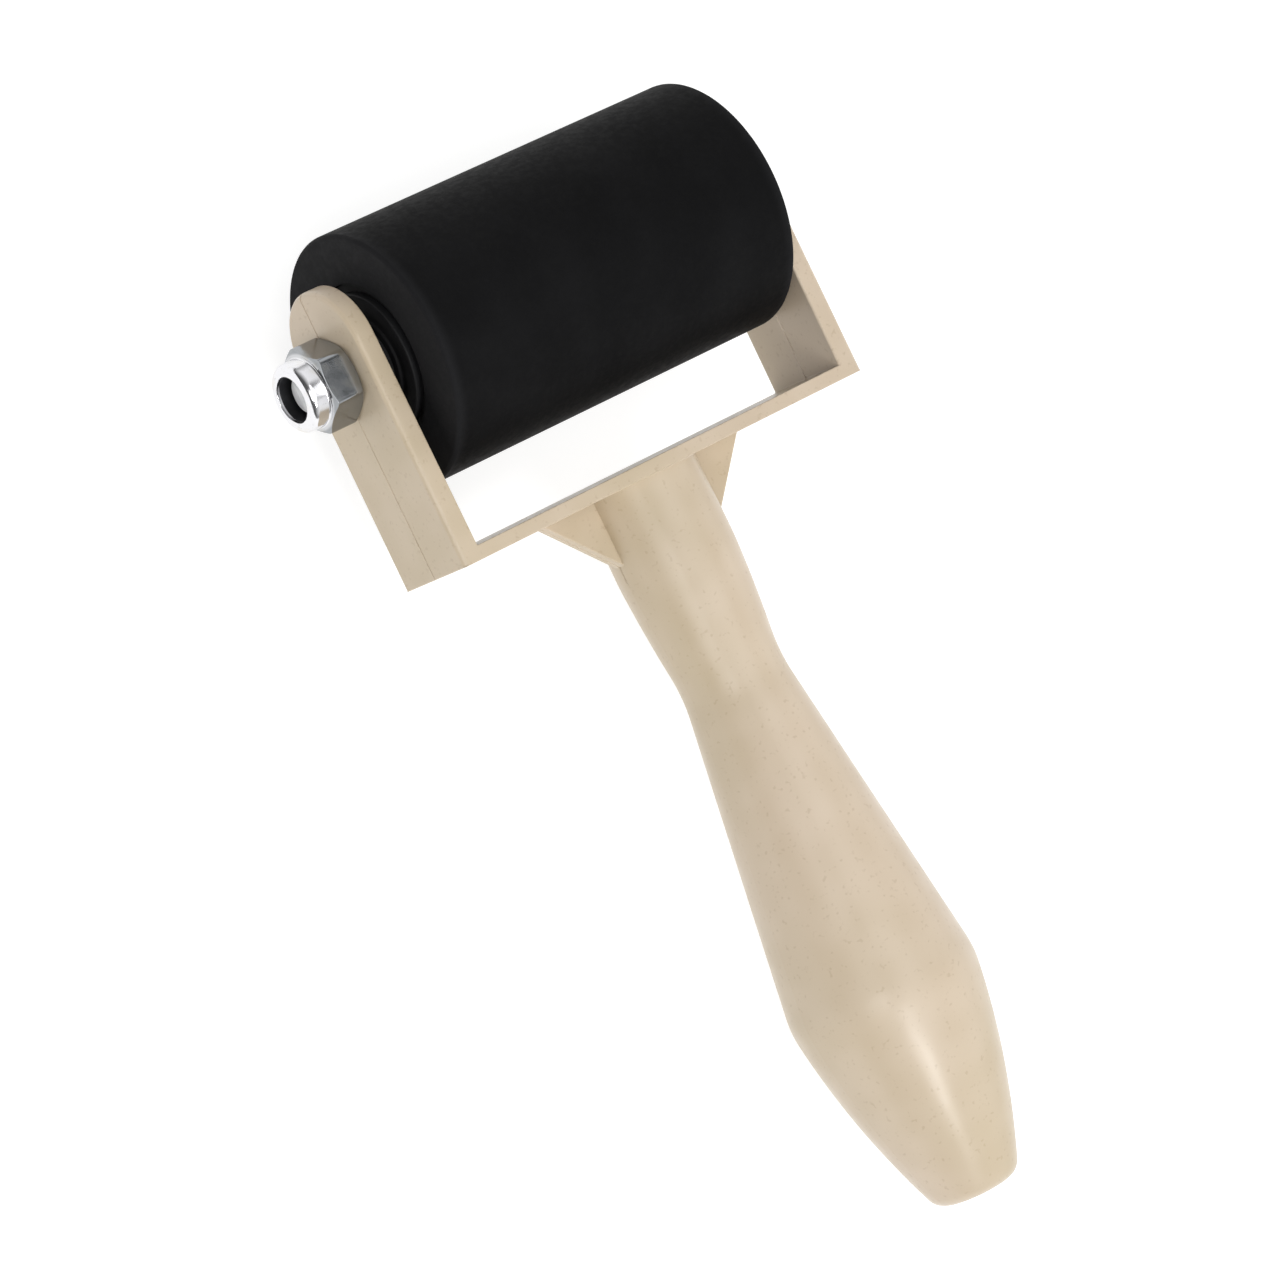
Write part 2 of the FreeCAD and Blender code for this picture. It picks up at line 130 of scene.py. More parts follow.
def along_grip(along, radius, angle):
    """Places the grip's outline; next to the crossbar it is pressed in to the crossbar's depth."""
    from_bar = (CROSSBAR_BOTTOM - along) / NECK_RELIEF_LENGTH
    fade = min(max(from_bar, 0.0), 1.0)
    depth = 1 - NECK_RELIEF * (1 - fade * fade * (3 - 2 * fade))
    return Vector((radius * math.sin(angle), along, radius * math.cos(angle) * depth))


def turned(name, outline_at, steps, place=along_x):
    """A piece of revolution. outline_at(angle) lists its (along, radius) points there; an
    outline that starts on the axis is a solid bar, and any other closes into a ring."""
    shape = bmesh.new()
    count = len(outline_at(0.0))
    poles = {
        i: shape.verts.new(place(outline_at(0.0)[i][0], 0.0, 0.0))
        for i in range(count)
        if outline_at(0.0)[i][1] == 0.0
    }
    columns = []
    for step in range(steps):
        angle = 2 * math.pi * step / steps
        points = outline_at(angle)
        columns.append([
            poles[i] if i in poles else shape.verts.new(place(*points[i], angle))
            for i in range(count)
        ])
    last = count - 1 if poles else count
    for step in range(steps):
        here, before = columns[step], columns[step - 1]
        for i in range(last):
            j = (i + 1) % count
            corners = dict.fromkeys((before[i], before[j], here[j], here[i]))
            shape.faces.new(corners)
    return as_piece(name, shape)


def settle(piece):
    """Applies a piece's modifiers to its mesh."""
    seen = piece.evaluated_get(bpy.context.evaluated_depsgraph_get())
    piece.data = bpy.data.meshes.new_from_object(seen)
    piece.modifiers.clear()


def combine(piece, tool, how):
    """Welds a block to a piece, cuts it out or keeps what they share, and uses it up."""
    change = piece.modifiers.new(how.lower(), "BOOLEAN")
    change.operation = how
    change.solver = "EXACT"
    change.object = tool
    settle(piece)
    bpy.data.objects.remove(tool)


def smooth_finish(piece, sharp_degrees=35):
    """Shades a piece smoothly, keeping its flats flat and its true corners crisp."""
    piece.data.shade_smooth()
    piece.data.set_sharp_from_angle(angle=math.radians(sharp_degrees))
    weighted = piece.modifiers.new("flats", "WEIGHTED_NORMAL")
    weighted.keep_sharp = True
    settle(piece)


def soft_min(a, b, blend):
    """The smaller of two half widths, with the corner where they cross rounded over."""
    near = max(blend - abs(a - b), 0.0) / blend
    return min(a, b) - near * near * blend / 4


def bowed_side(s, start, end, bow):
    """Half width at s on a side that bulges by an arc of radius bow between two corners."""
    slope = (end[1] - start[1]) / (end[0] - start[0])
    bulge = (s - start[0]) * (end[0] - s) * math.hypot(1, slope) ** 3 / (2 * bow)
    return start[1] + slope * (s - start[0]) + bulge


def straight_side(s, start, end):
    return start[1] + (end[1] - start[1]) * (s - start[0]) / (end[0] - start[0])


def grip_half_width(s):
    """The grip's radius at a distance s behind the roller's axle."""
    cone = straight_side(s, WAIST, BELLY)
    if s > (WAIST[0] + BELLY[0]) / 2:
        return soft_min(cone, bowed_side(s, BELLY, BUTT, NOSE_BOW), BELLY_BLEND)
    front = straight_side(s, NECK, SHOULDER)
    if s > SHOULDER[0]:
        front = bowed_side(s, SHOULDER, WAIST, TAPER_BOW)
    return -soft_min(-front, -cone, WAIST_BLEND)


def grip_outline():
    """From the crossbar back to the butt, whose edge is rounded to a flat end."""
    turn_start = BUTT[0] - BUTT_ROUND
    lean = math.atan2(grip_half_width(turn_start) - grip_half_width(BUTT[0]), BUTT_ROUND)
    centre = grip_half_width(turn_start) - BUTT_ROUND / math.cos(lean)
    side_end = turn_start + BUTT_ROUND * math.sin(lean)
    first = NECK[0] + NECK_ROOT
    points = [(-NECK[0] + SUNK, 0.0), (-NECK[0] + SUNK, NECK[1]), (-first, grip_half_width(first))]
    for row in range(1, GRIP_ROWS):
        s = first + (side_end - first) * row / GRIP_ROWS
        points.append((-s, grip_half_width(s)))
    for bend in range(BUTT_BENDS + 1):
        angle = lean + (math.pi / 2 - lean) * bend / BUTT_BENDS
        reach = BUTT_ROUND * math.sin(angle)
        points.append((-turn_start - reach, centre + BUTT_ROUND * math.cos(angle)))
    points.append((-BUTT[0], centre / 2))
    points.append((-BUTT[0], 0.0))
    return points


def arm_outline():
    """The arm's side view: straight edges and a full round end."""
    middle = ARM_END - ARM_HALF_DEPTH
    below = CROSSBAR_BOTTOM - SPARE
    turn = [math.pi * bend / ARM_END_BENDS for bend in range(ARM_END_BENDS + 1)]
    end = [(middle + ARM_HALF_DEPTH * math.sin(t), ARM_HALF_DEPTH * math.cos(t)) for t in turn]
    return end + [(below, -ARM_HALF_DEPTH), (below, ARM_HALF_DEPTH)]


def weld_handle():
    """Yoke, gussets and grip as one closed shape, with the axle's holes through the arms."""
    above = ARM_END + SPARE
    yoke_outline = [
        (-ARM_OUTER, above), (-ARM_OUTER, CROSSBAR_BOTTOM),
        (ARM_OUTER, CROSSBAR_BOTTOM), (ARM_OUTER, above),
        (ARM_INNER, above), (ARM_INNER, CROSSBAR_TOP),
        (-ARM_INNER, CROSSBAR_TOP), (-ARM_INNER, above),
    ]
    depth = ARM_HALF_DEPTH + SPARE
    width = ARM_OUTER + SPARE
    yoke = block("beige_handle", yoke_outline, -depth, depth, lambda u, v, at: (u, v, at))
    arms = block("arm_sides", arm_outline(), -width, width, lambda u, v, at: (at, u, v))
    combine(yoke, arms, "INTERSECT")
    steepness = GUSSET_REACH / GUSSET_DROP
    top = GUSSET_REACH + NECK[1] + SUNK * steepness
    tip = NECK[1] - 2 * SUNK * steepness
    tip_y = CROSSBAR_BOTTOM - GUSSET_DROP - 2 * SUNK
    gusset_outline = [
        (top, CROSSBAR_BOTTOM + SUNK), (tip, tip_y), (-tip, tip_y), (-top, CROSSBAR_BOTTOM + SUNK),
    ]
    gussets = block(
        "gussets", gusset_outline, -GUSSET_HALF, GUSSET_HALF, lambda u, v, at: (u, v, at)
    )
    combine(yoke, gussets, "UNION")
    points = grip_outline()
    grip = turned("grip", lambda angle: points, GRIP_STEPS, along_grip)
    combine(yoke, grip, "UNION")
    bar = [(-width, 0.0), (-width, ARM_HOLE), (width, ARM_HOLE), (width, 0.0)]
    combine(yoke, turned("axle_holes", lambda angle: bar, AXLE_HOLE_STEPS), "DIFFERENCE")
    return yoke


def soften_edges(handle):
    """Rounds the arms' edges most, the crossbar's least, and fills the corners where parts meet."""
    shape = bmesh.new()
    shape.from_mesh(handle.data)
    bmesh.ops.dissolve_limit(shape, angle_limit=COPLANAR, verts=shape.verts, edges=shape.edges)
    weight = shape.edges.layers.float.new("bevel_weight_edge")
    for edge in shape.edges:
        if len(edge.link_faces) != 2 or edge.calc_face_angle() < CORNER:
            continue
        middle = (edge.verts[0].co + edge.verts[1].co) / 2
        at_hole = math.hypot(middle.y, middle.z) <= ARM_HOLE * HOLE_MARGIN
        on_arm = middle.y > CROSSBAR_BOTTOM + SUNK / 2 and not at_hole
        if on_arm and abs(middle.x) > ARM_OUTER - SUNK / 2:
            edge[weight] = 1.0
        elif on_arm and abs(middle.x) > ARM_INNER - SUNK / 2 and edge.is_convex:
            edge[weight] = ARM_INSIDE_EDGE / ARM_EDGE
        elif edge.is_convex:
            edge[weight] = CROSSBAR_EDGE / ARM_EDGE
        elif middle.y > CROSSBAR_BOTTOM - SUNK:
            edge[weight] = ROOT_FILLET / ARM_EDGE
    shape.to_mesh(handle.data)
    shape.free()
    rounding = handle.modifiers.new("edges", "BEVEL")
    rounding.limit_method = "WEIGHT"
    rounding.width = ARM_EDGE
    rounding.segments = EDGE_BENDS
    rounding.use_clamp_overlap = False
    rounding.material = 1
    settle(handle)


def cut_parting_line(handle):
    """Draws the arms thinner away from mid depth, cuts the fine line where the mould's halves
    met and raises the fainter one along the grip."""
    shape = bmesh.new()
    shape.from_mesh(handle.data)
    for level in (-PARTING_HALF, 0.0, PARTING_HALF):
        bmesh.ops.bisect_plane(
            shape, geom=shape.verts[:] + shape.edges[:] + shape.faces[:],
            plane_co=(0, 0, level), plane_no=(0, 0, 1), dist=ON_PLANE,
        )
    shape.normal_update()
    moves = {}
    arm_middle = (ARM_INNER + ARM_OUTER) / 2
    for vert in shape.verts:
        side = math.copysign(1.0, vert.co.x)
        move = Vector((0, 0, 0))
        if abs(vert.co.x) > ARM_INNER - SUNK / 4 and vert.co.y > CROSSBAR_TOP + ARM_EDGE:
            face = side if abs(vert.co.x) > arm_middle else -side
            move.x -= face * ARM_DRAFT * abs(vert.co.z)
        if abs(vert.co.z) < PARTING_HALF / 10:
            if vert.co.y > CROSSBAR_BOTTOM - GUSSET_DROP - SUNK:
                move -= vert.normal * PARTING_DEPTH
            elif vert.co.y > handle_low.y + BUTT_ROUND / 2:
                move += vert.normal * GRIP_FLASH
        moves[vert] = move
    for vert, move in moves.items():
        vert.co += move
    shape.to_mesh(handle.data)
    shape.free()


def add(finish, kind, sockets=None, **settings):
    """Adds a shader node; sockets are fed from another node or set to a value."""
    tree = finish.node_tree
    node = tree.nodes.new("ShaderNode" + kind)
    for name, value in settings.items():
        setattr(node, name, value)
    for name, value in (sockets or {}).items():
        if isinstance(value, bpy.types.NodeSocket):
            tree.links.new(value, node.inputs[name])
        else:
            node.inputs[name].default_value = value
    return node


def paint(red, green, blue):
    """A 0 to 255 colour triple, turned into the linear values that a shader takes."""
    parts = [c / 255 for c in (red, green, blue)]
    return [c / 12.92 if c < 0.04045 else ((c + 0.055) / 1.055) ** 2.4 for c in parts] + [1.0]


def start_finish(name, **steady):
    """A material whose shader has the given sockets set, such as Metallic or IOR."""
    finish = bpy.data.materials.new(name)
    finish.use_nodes = True
    shader = finish.node_tree.nodes["Principled BSDF"]
    for socket, value in steady.items():
        shader.inputs[socket.replace("_", " ")].default_value = value
    return finish, shader, add(finish, "TexCoord").outputs["Object"]


def noise(finish, place, size, detail=3.0, roughness=0.5, stretch=(1, 1, 1)):
    """Mottling whose patches are about size across, drawn out by stretch along x, y, z."""
    scaled = add(finish, "Mapping", {"Vector": place, "Scale": [1 / (size * s) for s in stretch]})
    sockets = {"Vector": scaled.outputs["Vector"], "Scale": 1.0, "Detail": detail}
    return add(finish, "TexNoise", dict(sockets, Roughness=roughness)).outputs["Fac"]


def spread(finish, value, low, high, from_low=0.3, from_high=0.7):
    """Eases a value that runs from from_low to from_high over to the range low to high."""
    sockets = {"Value": value, "From Min": from_low, "From Max": from_high}
    sockets.update({"To Min": low, "To Max": high})
    return add(finish, "MapRange", sockets, interpolation_type="SMOOTHSTEP").outputs[0]


def blend(finish, share, under, over, how="MIX"):
    """Lays one colour over another by share."""
    node = add(finish, "Mix", data_type="RGBA", blend_type=how, clamp_factor=True)
    for index, value in ((0, share), (6, under), (7, over)):
        if isinstance(value, bpy.types.NodeSocket):
            finish.node_tree.links.new(value, node.inputs[index])
        else:
            node.inputs[index].default_value = value
    return node.outputs[2]


def relief(finish, layers):
    """Stacks fine surface relief: each layer is a height and its depth in metres."""
    normal = None
    for height, depth in layers:
        sockets = {"Height": height, "Distance": depth, "Strength": 1.0}
        if normal is not None:
            sockets["Normal"] = normal
        normal = add(finish, "Bump", sockets).outputs["Normal"]
    return normal


def feed(finish, shader, **sockets):
    """Plugs colour, roughness or relief into a material's shader."""
    for socket, value in sockets.items():
        finish.node_tree.links.new(value, shader.inputs[socket.replace("_", " ")])


def beige_plastic():
    """Semi-gloss beige: soft clouds and mottling, small specks, edges rubbed paler."""
    finish, shader, place = start_finish("beige_plastic", IOR=1.47)
    clouds = noise(finish, place, 24 * MM, detail=0.0)
    warm = blend(finish, spread(finish, clouds, 0, 1), paint(194, 178, 152), paint(201, 184, 162))
    mottle = noise(finish, place, 5 * MM, detail=0.0)
    marked = blend(finish, spread(finish, mottle, 0, 0.14, 0.3, 0.8), warm, paint(222, 207, 190))
    specks = noise(finish, place, 0.7 * MM, detail=1.0)
    speckled = blend(finish, spread(finish, specks, 0, 0.3, 0.62, 0.76), marked, paint(165, 143, 114))
    rubbed = add(finish, "Attribute", attribute_name="rounded_edge").outputs["Fac"]
    uneven = noise(finish, place, 3 * MM, detail=2.0)
    edge_share = add(
        finish, "Math", {0: rubbed, 1: spread(finish, uneven, 0, 0.3, 0.3, 0.75)}, operation="MULTIPLY"
    ).outputs[0]
    colour = blend(finish, edge_share, speckled, paint(226, 213, 194))
    sheen_patches = noise(finish, place, 3.5 * MM, detail=1.0)
    fine = noise(finish, place, 0.22 * MM, detail=2.0)
    ripple = noise(finish, place, 3.2 * MM, detail=1.0)
    feed(
        finish, shader, Base_Color=colour,
        Roughness=spread(finish, sheen_patches, 0.285, 0.36),
        Normal=relief(finish, [(ripple, 0.012 * MM), (fine, 0.003 * MM)]),
    )
    return finish


def mark_rounded_edges(handle, finish):
    """Notes the rounded edges' faces, where hands rub, then gives every face the one finish."""
    mesh = handle.data
    rounded = mesh.attributes.new("rounded_edge", "FLOAT", "FACE")
    for face in mesh.polygons:
        rounded.data[face.index].value = float(face.material_index == 1)
        face.material_index = 0
    mesh.materials.clear()
    mesh.materials.append(finish)


handle = weld_handle()
soften_edges(handle)
cut_parting_line(handle)
mark_rounded_edges(handle, beige_plastic())
smooth_finish(handle, HANDLE_CREASE_DEGREES)
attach(handle, "frame")
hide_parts("handle_frame")

# ------------------------------------------------------------------------------------
# Axle bolt. Zinc-plated steel, turned with a low domed head and a pressed cross recess;
# its thread is rolled into the far end, which stops just inside the lock nut's rim.
# ------------------------------------------------------------------------------------
bolt_low, bolt_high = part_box("axle_bolt")
BOLT_RADIUS = 3.175 * MM
THREAD_PITCH = 1.27 * MM
THREAD_DEPTH = 0.55 * MM
THREAD_LENGTH = 14 * MM
THREAD_FLANK = 2.3
THREAD_ROWS_PER_PITCH = 10
TIP_CHAMFER = 0.6 * MM
TIP_FACE_DEPTH = 0.02 * MM
SHANK_RELIEF = 0.2 * MM
HEAD_EDGE = 0.15 * MM
HEAD_BENDS = 22
BOLT_STEPS = 72
HEAD_RADIUS = 7.1 * MM
HEAD_RIM = 0.5 * MM
RECESS_SPAN = 4.6 * MM
RECESS_SLOT = 1.2 * MM
RECESS_DEPTH = 1.8 * MM
RECESS_TAPER = 0.6


def thread_radius(along, angle):
    """The thread's V groove winds once around for each pitch and fades out at both ends."""
    from_tip = along - bolt_low.x
    phase = (from_tip / THREAD_PITCH - angle / (2 * math.pi)) % 1.0
    groove = max(0.0, 1.0 - abs(phase - 0.5) * THREAD_FLANK)
    runout = min(1.0, (THREAD_LENGTH - from_tip) / THREAD_PITCH)
    tip_limit = BOLT_RADIUS - TIP_CHAMFER + from_tip
    return min(BOLT_RADIUS - THREAD_DEPTH * groove * max(0.0, runout), tip_limit)


def bolt_outline(angle):
    rows = int(THREAD_LENGTH / THREAD_PITCH * THREAD_ROWS_PER_PITCH)
    points = [(bolt_low.x, 0.0), (bolt_low.x, (BOLT_RADIUS - TIP_CHAMFER) * 0.5)]
    for row in range(rows + 1):
        along = bolt_low.x + THREAD_LENGTH * row / rows
        points.append((along, thread_radius(along, angle)))
    points.append((ARM_OUTER - SHANK_RELIEF, BOLT_RADIUS))
    points.append((ARM_OUTER, BOLT_RADIUS + SHANK_RELIEF))
    dome = bolt_high.x - ARM_OUTER - HEAD_RIM
    bow = (HEAD_RADIUS ** 2 + dome ** 2) / (2 * dome)
    widest = math.asin(HEAD_RADIUS / bow)
    points.append((ARM_OUTER, HEAD_RADIUS - HEAD_EDGE))
    points.append((ARM_OUTER + HEAD_EDGE, HEAD_RADIUS))
    for bend in range(HEAD_BENDS + 1):
        lean = widest * (1 - bend / HEAD_BENDS)
        points.append((bolt_high.x - bow * (1 - math.cos(lean)), bow * math.sin(lean)))
    return points[:-1] + [(bolt_high.x, 0.0)]


def bright_plate(name, end_highlight_tint, tint, change_at, smoothest, roughest, turning_marks):
    """Zinc plate over steel, with turning marks and fine nicks. Beyond change_at, towards the
    nut's rim, it takes the paler end tint, a painted highlight; clouds vary its gloss and
    yellow it faintly."""
    finish, shader, place = start_finish(name, Metallic=1.0)
    clouds = noise(finish, place, 2.5 * MM, detail=5.0)
    along = add(finish, "SeparateXYZ", {"Vector": place}).outputs["X"]
    further_in = spread(finish, along, 0, 1, change_at - 0.2 * MM, change_at + 0.2 * MM)
    clean = blend(finish, further_in, end_highlight_tint, tint)
    yellowed = blend(finish, 1.0, clean, [0.93, 0.9, 0.82, 1.0], how="MULTIPLY")
    colour = blend(finish, spread(finish, clouds, 0, 0.7, 0.5, 0.75), clean, yellowed)
    nicks = noise(finish, place, 0.35 * MM, detail=5.0, roughness=0.7)
    dulled = blend(finish, spread(finish, nicks, 0, 0.5, 0.62, 0.7), colour, paint(120, 120, 124))
    turning = noise(finish, place, 0.12 * MM, detail=2.0, stretch=(1, 40, 40))
    feed(
        finish, shader, Base_Color=dulled,
        Roughness=spread(finish, clouds, smoothest, roughest),
        Normal=relief(finish, [(nicks, 0.004 * MM), (turning, turning_marks)]),
    )
    return finish


def sheared_zinc():
    """The bolt's cropped end: chalky pale zinc with coarse shear marks."""
    finish, shader, place = start_finish("sheared_zinc", Metallic=0.15, IOR=1.7)
    marks = noise(finish, place, 0.5 * MM, detail=4.0, stretch=(1, 4, 1))
    pits = noise(finish, place, 0.2 * MM, detail=3.0)
    colour = blend(finish, spread(finish, marks, 0, 1), paint(228, 229, 232), paint(250, 250, 250))
    pitted = spread(finish, pits, 0, 0.4, 0.6, 0.8)
    feed(
        finish, shader, Base_Color=blend(finish, pitted, colour, paint(150, 150, 152)),
        Roughness=spread(finish, marks, 0.35, 0.55),
        Normal=relief(finish, [(marks, 0.02 * MM), (pits, 0.01 * MM)]),
    )
    return finish


bolt = turned("axle_bolt_steel", bolt_outline, BOLT_STEPS)
half_slot = RECESS_SLOT / 2
half_span = RECESS_SPAN / 2
cross = [
    (half_span, -half_slot), (half_span, half_slot), (half_slot, half_slot), (half_slot, half_span),
    (-half_slot, half_span), (-half_slot, half_slot), (-half_span, half_slot), (-half_span, -half_slot),
    (-half_slot, -half_slot), (-half_slot, -half_span), (half_slot, -half_span), (half_slot, -half_slot),
]
punch = block(
    "recess_punch", cross, bolt_high.x + SUNK / 2, bolt_high.x - RECESS_DEPTH,
    lambda u, v, at: (at, u, v), taper=RECESS_TAPER,
)
combine(bolt, punch, "DIFFERENCE")
# Within a fifth of a millimetre of its tip the bolt fades to the slightly paler end tint, a painted
# highlight.
bolt.data.materials.append(bright_plate(
    "bolt_plate", end_highlight_tint=paint(214, 214, 216), tint=paint(206, 206, 208), change_at=bolt_low.x,
    smoothest=0.17, roughest=0.26, turning_marks=0.004 * MM,
))
bolt.data.materials.append(sheared_zinc())
smooth_finish(bolt)
for face in bolt.data.polygons:
    face.material_index = int(face.center.x < bolt_low.x + TIP_FACE_DEPTH)
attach(bolt, "frame")
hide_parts("axle_bolt")

# ------------------------------------------------------------------------------------
# Lock nut. Bright-plated steel, forged hexagonal with its corners chamfered, and with a
# round collar whose rim is rolled inward over the nylon ring to hold it.
# ------------------------------------------------------------------------------------
nut_low, nut_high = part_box("lock_nut")
insert_low, insert_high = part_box("lock_nut_insert")
NUT_FLAT = nut_high.z
NUT_CORNER = 6.28 * MM
HEX_HEIGHT = nut_high.x - insert_high.x
CHAMFER_SLOPE = math.tan(math.radians(30))
FACE_RADIUS = NUT_FLAT * 0.985
COLLAR_RADIUS = 4.955 * MM
COLLAR_FOOT = 0.3 * MM
RIM_ROUND = 1.0 * MM
NUT_OPENING = 3.325 * MM
NUT_BORE = 3.205 * MM
NUT_HEIGHT = nut_high.x - nut_low.x
LIP_DEPTH = nut_low.x - insert_low.x
LIP_ROUND = 0.12 * MM
HEX_EDGE = 0.07 * MM
HEX_EASE = 0.4
CORNER_BLEND = 0.12 * MM
BORE_CHAMFER = 0.4 * MM
NUT_STEPS = 180
NUT_CREASE_DEGREES = 28
CORNER_BENDS = 4
RIM_BENDS = 10


def arc(centre_along, centre_radius, size, start, end, bends):
    """Points on a round corner of a turned outline, with angles from the axle's direction."""
    turns = [math.radians(start + (end - start) * bend / bends) for bend in range(bends + 1)]
    return [
        (centre_along + size * math.cos(t), centre_radius + size * math.sin(t)) for t in turns
    ]


def nut_outline(angle):
    """The nut's section at an angle; heights count outward from the face against the arm."""
    to_flat = (angle + math.pi / 2) % (math.pi / 3)
    to_flat = min(to_flat, math.pi / 3 - to_flat)
    corner = soft_min(NUT_FLAT / math.cos(to_flat), NUT_CORNER, CORNER_BLEND)
    drop = max(corner - FACE_RADIUS, 0.0) * CHAMFER_SLOPE
    eased = corner - HEX_EDGE * HEX_EASE
    section = [(0.0, NUT_BORE + BORE_CHAMFER), (0.0, FACE_RADIUS - HEX_EDGE)]
    section += [(drop, eased), (drop + HEX_EDGE, corner)]
    section += [(HEX_HEIGHT - drop - HEX_EDGE, corner), (HEX_HEIGHT - drop, eased)]
    section += [(HEX_HEIGHT, FACE_RADIUS - HEX_EDGE), (HEX_HEIGHT, COLLAR_RADIUS + COLLAR_FOOT)]
    foot = (HEX_HEIGHT + COLLAR_FOOT, COLLAR_RADIUS + COLLAR_FOOT)
    section += arc(*foot, COLLAR_FOOT, 180, 270, CORNER_BENDS)[1:]
    section += arc(NUT_HEIGHT - RIM_ROUND, COLLAR_RADIUS - RIM_ROUND, RIM_ROUND, 90, 0, RIM_BENDS)
    section += arc(NUT_HEIGHT - LIP_ROUND, NUT_OPENING + LIP_ROUND, LIP_ROUND, 0, -90, CORNER_BENDS)
    section += [(NUT_HEIGHT + LIP_DEPTH, NUT_OPENING), (NUT_HEIGHT + LIP_DEPTH, insert_high.z)]
    section += [(HEX_HEIGHT, insert_high.z), (HEX_HEIGHT, NUT_BORE), (BORE_CHAMFER, NUT_BORE)]
    return [(nut_high.x - height, radius) for height, radius in section]


nut = turned("lock_nut_steel", nut_outline, NUT_STEPS)
# The hex takes a darker tint so its flats mirror grey, a painted darker reflection; the collar and
# rolled rim take the paler end tint, a painted highlight.
nut.data.materials.append(bright_plate(
    "nut_plate", end_highlight_tint=paint(226, 226, 229), tint=paint(150, 153, 156), change_at=insert_high.x,
    smoothest=0.1, roughest=0.22, turning_marks=0.002 * MM,
))
smooth_finish(nut, NUT_CREASE_DEGREES)
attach(nut, "frame")
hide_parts("lock_nut")

# ------------------------------------------------------------------------------------
# Nylon insert. A dark ring pressed into the nut's collar, which grips the bolt's thread;
# only the edge of its bore shows past the rolled rim.
# ------------------------------------------------------------------------------------
INSERT_EDGE = 0.12 * MM
RING_STEPS = 96


def ring_outline(low, high, inner, outer, edge):
    """A ring's section with every corner rounded."""
    return (
        arc(high - edge, outer - edge, edge, 90, 0, CORNER_BENDS)
        + arc(high - edge, inner + edge, edge, 0, -90, CORNER_BENDS)
        + arc(low + edge, inner + edge, edge, -90, -180, CORNER_BENDS)
        + arc(low + edge, outer - edge, edge, 180, 90, CORNER_BENDS)
    )


def plain_plastic(name, tint, worn, rough_low, rough_high):
    """Matt machined or moulded plastic: mottled, scuffed paler, with a fine grain."""
    finish, shader, place = start_finish(name, IOR=1.5, Specular_IOR_Level=0.25)
    clouds = noise(finish, place, 4 * MM, detail=4.0)
    scuffs = noise(finish, place, 0.6 * MM, detail=5.0, roughness=0.65)
    mottled = blend(finish, spread(finish, clouds, 0, 0.35), tint, worn)
    colour = blend(finish, spread(finish, scuffs, 0, 0.5, 0.55, 0.75), mottled, worn)
    grain = noise(finish, place, 0.15 * MM, detail=3.0)
    feed(
        finish, shader, Base_Color=colour,
        Roughness=spread(finish, clouds, rough_low, rough_high),
        Normal=relief(finish, [(scuffs, 0.006 * MM), (grain, 0.004 * MM)]),
    )
    return finish


insert_section = ring_outline(insert_low.x, insert_high.x, NUT_BORE, insert_high.z, INSERT_EDGE)
insert = turned("insert_nylon_ring", lambda angle: insert_section, RING_STEPS)
insert.data.materials.append(plain_plastic(
    "dark_nylon", tint=paint(26, 26, 29), worn=paint(46, 46, 50), rough_low=0.45, rough_high=0.6,
))
smooth_finish(insert)
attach(insert, "frame")
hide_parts("lock_nut_insert")

# ------------------------------------------------------------------------------------
# Thrust washers. Black nylon, stamped from sheet, one on the axle between each arm and
# the roller so that the roller's ends never rub on the arms.
# ------------------------------------------------------------------------------------
WASHER_EDGE = 0.25 * MM

black_nylon = plain_plastic(
    "black_nylon", tint=paint(28, 28, 29), worn=paint(44, 44, 46), rough_low=0.42, rough_high=0.55,
)
for side in ("left", "right"):
    node = "thrust_washer_" + side
    low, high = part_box(node)
    section = ring_outline(low.x, high.x, ARM_HOLE, high.z, WASHER_EDGE)
    washer = turned("nylon_washer_" + side, lambda angle, section=section: section, RING_STEPS)
    washer.data.materials.append(black_nylon)
    smooth_finish(washer)
    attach(washer, "frame")
    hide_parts(node)

# ------------------------------------------------------------------------------------
# Rubber sleeve. The printing surface: soft black rubber moulded on the core and ground
# true, so its tread carries very fine rings and its end edges are just broken.
# ------------------------------------------------------------------------------------
RUBBER_EDGE = 0.6 * MM
CORE_RADIUS = 11.4 * MM
RUBBER_BENDS = 6
TREAD_ROWS = 48
SLEEVE_STEPS = 160


def sleeve_outline():
    """The tread in rows from end to end, then the rounded edges, end faces and bore."""
    radius = roller_high.z
    flat = roller_high.x - RUBBER_EDGE
    points = arc(-flat, radius - RUBBER_EDGE, RUBBER_EDGE, 180, 90, RUBBER_BENDS)
    points += [(-flat + 2 * flat * row / TREAD_ROWS, radius) for row in range(1, TREAD_ROWS)]
    points += arc(flat, radius - RUBBER_EDGE, RUBBER_EDGE, 90, 0, RUBBER_BENDS)
    for end in (roller_high.x, roller_low.x):
        for share in (0.5, 0.0) if end > 0 else (0.0, 0.5):
            points.append((end, CORE_RADIUS + share * (radius - RUBBER_EDGE - CORE_RADIUS)))
    return points


